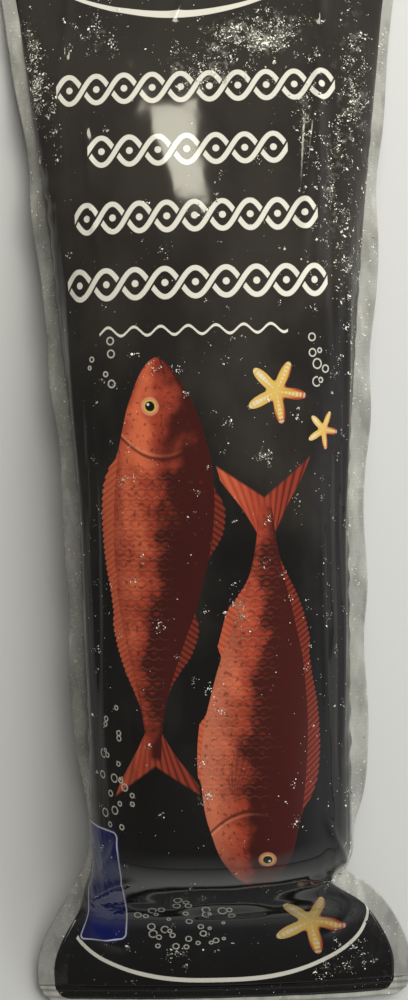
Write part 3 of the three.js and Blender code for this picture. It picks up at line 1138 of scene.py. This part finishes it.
def flake_mesh(random, spots, normals):
    """Flat irregular flakes of ice as one mesh, each a small closed lump"""
    lump = bmesh.new()
    bmesh.ops.create_icosphere(lump, subdivisions=1, radius=1)
    corners = np.array([vert.co for vert in lump.verts])
    faces = np.array([[vert.index for vert in face.verts] for face in lump.faces])
    lump.free()
    count = len(spots)
    smallest, spread, typical, most = 0.08, 0.15, 0.6, 3
    size = (smallest + spread * random.exponential(typical, count).clip(0, most)) * MM
    aside = np.cross(normals, random.normal(0, 1, (count, 3)))
    aside /= np.linalg.norm(aside, axis=1, keepdims=True)
    axes = np.stack([aside, np.cross(normals, aside), normals], 1)
    stretch = random.uniform((0.8, 0.5, 0.3), (1.5, 1.0, 0.6), (count, 3))
    local = corners[None] * random.uniform(0.7, 1.25, (count, len(corners), 1)) * stretch[:, None]
    verts = spots[:, None] + np.einsum("nvk,nkx->nvx", local, axes) * size[:, None, None]
    shift = np.arange(count)[:, None, None] * len(corners)
    mesh = bpy.data.meshes.new("frost")
    mesh.from_pydata(verts.reshape(-1, 3), [], (faces[None] + shift).reshape(-1, 3))
    return mesh


# How far a margin's ruffles, a crimp's ribs and its slow ripples stand up
RUFFLE_HEIGHT = 0.45 * MM
RIB_HEIGHT = 0.25 * MM
RIPPLE_HEIGHT = 0.5 * MM


def margin_points(shape, side):
    """The welded strip beside the panels, from under the film to its wavy outer edge"""
    bag = shape.bag
    tuck = 0.8 * MM
    rows = np.linspace(bag.bottom_seal - MM, bag.length - bag.top_seal + MM, MARGIN_QUADS[1] + 1)
    outward, along = np.meshgrid(np.linspace(0, 1, MARGIN_QUADS[0] + 1), rows)
    step = 0.5 * MM
    edge = shape.panel_edge(side, along)
    rise = shape.panel_edge(side, along + step) - shape.panel_edge(side, along - step)
    slope = rise / (2 * step)
    out = np.stack([np.ones_like(slope), -slope], -1) / np.hypot(1, slope)[..., None]
    taut = shape.tautness(along)
    bend = taut * shape.bend_angle(side, along)
    width = outward * shape.margin_width(side, along)
    reach = width * np.cos(bend) - tuck * (1 - outward)
    across = edge + out[..., 0] * reach
    flutter = wave(along, shape.flutter_length, side)
    flutter = shape.flutter_height * outward * flutter * taut
    ruffle = wrinkle_noise(outward * 8 * MM + side, along, 7 * MM, 1, 4.4 + side, 2)
    ruffle = RUFFLE_HEIGHT * ruffle * outward * smooth(0.05, 0.5, taut)
    lift = bag.seal / 2 - 0.1 * MM
    height = shape.seam_height(across, along) - width * np.sin(bend) + flutter + ruffle + lift
    points = np.stack([side * across, along + out[..., 1] * reach, height], -1)
    return points if side > 0 else points[:, ::-1]


def crimp_points(shape, end):
    """A crimped end with rounded outer corners and ribs across it"""
    bag = shape.bag
    depth, ribs = {"bottom": (bag.bottom_seal, 3), "top": (bag.top_seal, 5)}[end]
    rows = np.linspace(0.1 * MM, depth, CRIMP_QUADS[1] + 1)
    side, row = np.meshgrid(np.linspace(-1, 1, CRIMP_QUADS[0] + 1), rows)
    short = np.maximum(0, bag.corner_radius - row)
    half = bag.width / 2 - bag.corner_radius + np.sqrt(bag.corner_radius**2 - short**2)
    across = side * half
    along = row if end == "bottom" else bag.length - row
    rib = RIB_HEIGHT * wave(row, depth / ribs)
    ripple = RIPPLE_HEIGHT * wrinkle_noise(across, along, 21 * MM, 1, 2.2, 2)
    height = shape.seam_height(across, along) + rib + ripple + bag.seal / 2
    points = np.stack([across, along, height], -1)
    return points if end == "bottom" else points[::-1]


# The point that the camera aims at
AIM = Vector((-3.05, -9.46, 20)) * MM
SENSOR_WIDTH = 36
NEAREST, FARTHEST = 0.01, 20
FLOOR_HALF_WIDTH = 4
WARM, PLAIN, COOL = (1, 0.96, 0.78), (1, 1, 0.97), (0.82, 0.9, 1)
# The sky's colours: low on the left, low on the right, and overhead
SKY = ((0.22, 0.22, 0.21), (0.62, 0.64, 0.68), (0.15, 0.152, 0.15))


def area_light(name, position, target, size, power, colour, reflected, roll=0.0):
    """A rectangular light that faces a target, rolled about its own axis by that many degrees.
    The film mirrors it only where it is reflected"""
    data = bpy.data.lights.new(name, "AREA")
    data.shape = "RECTANGLE"
    data.size, data.size_y = size
    data.energy = power
    data.color = colour
    light = bpy.data.objects.new(name, data)
    aim = (Vector(target) - Vector(position)).to_track_quat("-Z", "Y")
    turn = Quaternion((0, 0, 1), math.radians(roll))
    light.rotation_euler = (aim @ turn).to_euler()
    light.location = position
    light.visible_glossy = reflected
    bpy.context.scene.collection.objects.link(light)


def set_camera(scene, stage):
    """The camera looks down on the pouch, leaning and turned a little as the photo's was"""
    tilt, roll = stage.tilt, stage.roll
    back = Vector((0, math.sin(tilt), math.cos(tilt)))
    up = Vector((0, math.cos(tilt), -math.sin(tilt)))
    right = Vector((1, 0, 0))
    across = right * math.cos(roll) + up * math.sin(roll)
    upward = up * math.cos(roll) - right * math.sin(roll)
    data = bpy.data.cameras.new("camera")
    data.lens = stage.lens
    data.sensor_width = SENSOR_WIDTH
    data.clip_start, data.clip_end = NEAREST, FARTHEST
    camera = bpy.data.objects.new("camera", data)
    turn = Matrix((across, upward, back)).transposed().to_4x4()
    camera.matrix_world = Matrix.Translation(AIM + back * stage.distance) @ turn
    scene.collection.objects.link(camera)
    scene.camera = camera


def set_floor(scene, stage):
    """A plain floor that the pouch lies on"""
    plane = bmesh.new()
    bmesh.ops.create_grid(plane, x_segments=1, y_segments=1, size=FLOOR_HALF_WIDTH)
    mesh = finished_mesh("floor", plane)
    floor = bpy.data.objects.new("floor", mesh)
    scene.collection.objects.link(floor)
    material, tree, shader = new_material("floor")
    fill(tree, shader, {"Base Color": stage.floor, "Roughness": 0.8})
    mesh.materials.append(material)


def set_sky(scene, stage):
    """Soft light from all round, dim overhead and on the left so that the film stays dark"""
    world = bpy.data.worlds.new("studio")
    scene.world = world
    world.use_nodes = True
    tree = world.node_tree
    rightward, _, height = axes(tree, add_node(tree, "TexCoord").outputs["Generated"])
    low_left, low_right, overhead = SKY
    colour = painted(
        tree,
        low_left,
        (rightward.between(-0.7, 0.5), low_right),
        (height.between(0.2, 0.75), overhead),
    )
    fill(tree, tree.nodes["Background"], {"Color": colour, "Strength": stage.sky})


class POUCH_OT_front_film(bpy.types.Operator):
    """Build the front's film with its folds, its print and its haze of frost"""

    bl_idname = "pouch.front_film"
    bl_label = "Front film"
    bl_options = {"REGISTER", "UNDO"}

    def execute(self, context):
        shape, colours = BagShape(context.scene.pouch_bag), context.scene.pouch_print
        points, around, along = front_points(shape)
        frost = frost_density(around, along)
        fields = dict(zip(PRINT_FIELDS, (around, along, frost)))
        film = sheet_piece("front_film", points, shape.bag.film, fields, printed_front(colours))
        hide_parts("front_panel")
        return {"FINISHED"}


class POUCH_OT_back_film(bpy.types.Operator):
    """Build the back's film, which the floor presses flat"""

    bl_idname = "pouch.back_film"
    bl_label = "Back film"
    bl_options = {"REGISTER", "UNDO"}

    def execute(self, context):
        shape, colours = BagShape(context.scene.pouch_bag), context.scene.pouch_print
        points, around, along = shape.sheet(BACK_QUADS, False)
        points = points + normals_of(points) * back_relief(shape, around, along)[..., None]
        # Nothing sinks into the floor
        points[..., 2] = points[..., 2].clip(0)
        points = points + shape.place
        frost = 0.02 + 0.1 * smooth(0.6, 0.9, np.abs(around) / shape.half)
        fields = dict(zip(PRINT_FIELDS, (around, along, frost)))
        material = printed_back(colours)
        film = sheet_piece("back_film", points, shape.bag.film, fields, material, upward=False)
        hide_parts("back_panel")
        return {"FINISHED"}


class POUCH_OT_side_margins(bpy.types.Operator):
    """Build the clear welded margin along each side"""

    bl_idname = "pouch.side_margins"
    bl_label = "Side margins"
    bl_options = {"REGISTER", "UNDO"}

    def execute(self, context):
        shape, colours = BagShape(context.scene.pouch_bag), context.scene.pouch_print
        material = milky_margin(colours)
        for side, name in ((-1, "left"), (1, "right")):
            points = margin_points(shape, side) + shape.place
            margin = sheet_piece(f"{name}_margin", points, shape.bag.seal, {}, material)
            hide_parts(f"side_seal_{name}")
        return {"FINISHED"}


class POUCH_OT_crimped_ends(bpy.types.Operator):
    """Build the crimped seal across each end"""

    bl_idname = "pouch.crimped_ends"
    bl_label = "Crimped ends"
    bl_options = {"REGISTER", "UNDO"}

    def execute(self, context):
        shape, colours = BagShape(context.scene.pouch_bag), context.scene.pouch_print
        material = crimped_end(colours)
        for end in ("bottom", "top"):
            points = crimp_points(shape, end) + shape.place
            crimp = sheet_piece(f"{end}_crimp", points, shape.bag.seal, {}, material)
            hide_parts(f"end_seal_{end}")
        return {"FINISHED"}


class POUCH_OT_frost(bpy.types.Operator):
    """Scatter flakes of ice over the front and the margins"""

    bl_idname = "pouch.frost"
    bl_label = "Frost"
    bl_options = {"REGISTER", "UNDO"}

    def execute(self, context):
        shape, colours = BagShape(context.scene.pouch_bag), context.scene.pouch_print
        random = np.random.default_rng(FROST_SEED)
        spots, normals = frost_spots(shape, random)
        mesh = flake_mesh(random, spots, normals)
        frost = new_piece("frost", mesh, frost_material(colours))
        return {"FINISHED"}


class POUCH_OT_frozen_block(bpy.types.Operator):
    """Give the contents, whose solid the film hides, a finish of their own"""

    bl_idname = "pouch.frozen_block"
    bl_label = "Frozen block"
    bl_options = {"REGISTER", "UNDO"}

    def execute(self, context):
        colours = context.scene.pouch_print
        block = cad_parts["frozen_block"]
        block.data.materials.clear()
        block.data.materials.append(block_material(colours))
        return {"FINISHED"}


class POUCH_OT_stage(bpy.types.Operator):
    """Set up the camera, the floor and the lights"""

    bl_idname = "pouch.stage"
    bl_label = "Stage"
    bl_options = {"REGISTER", "UNDO"}

    def execute(self, context):
        scene, stage = context.scene, context.scene.pouch_stage
        set_floor(scene, stage)
        set_camera(scene, stage)
        set_sky(scene, stage)
        scene.view_settings.view_transform = "Standard"
        middle = (0, 0, 0)
        area_light("key", (0.42, 0.6, 0.8), middle, (1, 0.8), stage.key, PLAIN, False)
        area_light("fill", (0.75, -0.05, 0.36), middle, (1, 0.25), stage.fill, COOL, False)
        # The film mirrors the lamp as a pale patch on its upper part
        spot, faced = (-0.043, 0.7, 0.625), (-0.008, 0.104, 0.033)
        area_light("lamp", spot, faced, (0.082, 0.07), stage.lamp, WARM, True, roll=3)
        return {"FINISHED"}


STEPS = (
    POUCH_OT_front_film,
    POUCH_OT_back_film,
    POUCH_OT_side_margins,
    POUCH_OT_crimped_ends,
    POUCH_OT_frost,
    POUCH_OT_frozen_block,
    POUCH_OT_stage,
)
SETTINGS = {"pouch_bag": PouchBag, "pouch_print": PouchPrint, "pouch_stage": PouchStage}


class POUCH_PT_sidebar(bpy.types.Panel):
    """The pouch's steps in their order, and its settings"""

    bl_idname = "POUCH_PT_sidebar"
    bl_label = "Frozen seafood pouch"
    bl_space_type = "VIEW_3D"
    bl_region_type = "UI"
    bl_category = "Pouch"

    def draw(self, context):
        for step in STEPS:
            self.layout.operator(step.bl_idname)
        for name, group in SETTINGS.items():
            box = self.layout.box()
            for setting in group.__annotations__:
                box.prop(getattr(context.scene, name), setting)


def register():
    """Adds the classes, and the settings to every scene"""
    for kind in (*SETTINGS.values(), *STEPS, POUCH_PT_sidebar):
        bpy.utils.register_class(kind)
    for name, group in SETTINGS.items():
        setattr(bpy.types.Scene, name, bpy.props.PointerProperty(type=group))


def unregister():
    """Takes away what register adds"""
    for name in SETTINGS:
        delattr(bpy.types.Scene, name)
    for kind in (POUCH_PT_sidebar, *reversed(STEPS), *SETTINGS.values()):
        bpy.utils.unregister_class(kind)


def main():
    """Builds the pouch and its stage"""
    register()
    bpy.ops.pouch.front_film()
    bpy.ops.pouch.back_film()
    bpy.ops.pouch.side_margins()
    bpy.ops.pouch.crimped_ends()
    bpy.ops.pouch.frost()
    bpy.ops.pouch.frozen_block()
    bpy.ops.pouch.stage()


if __name__ == "__main__":
    main()
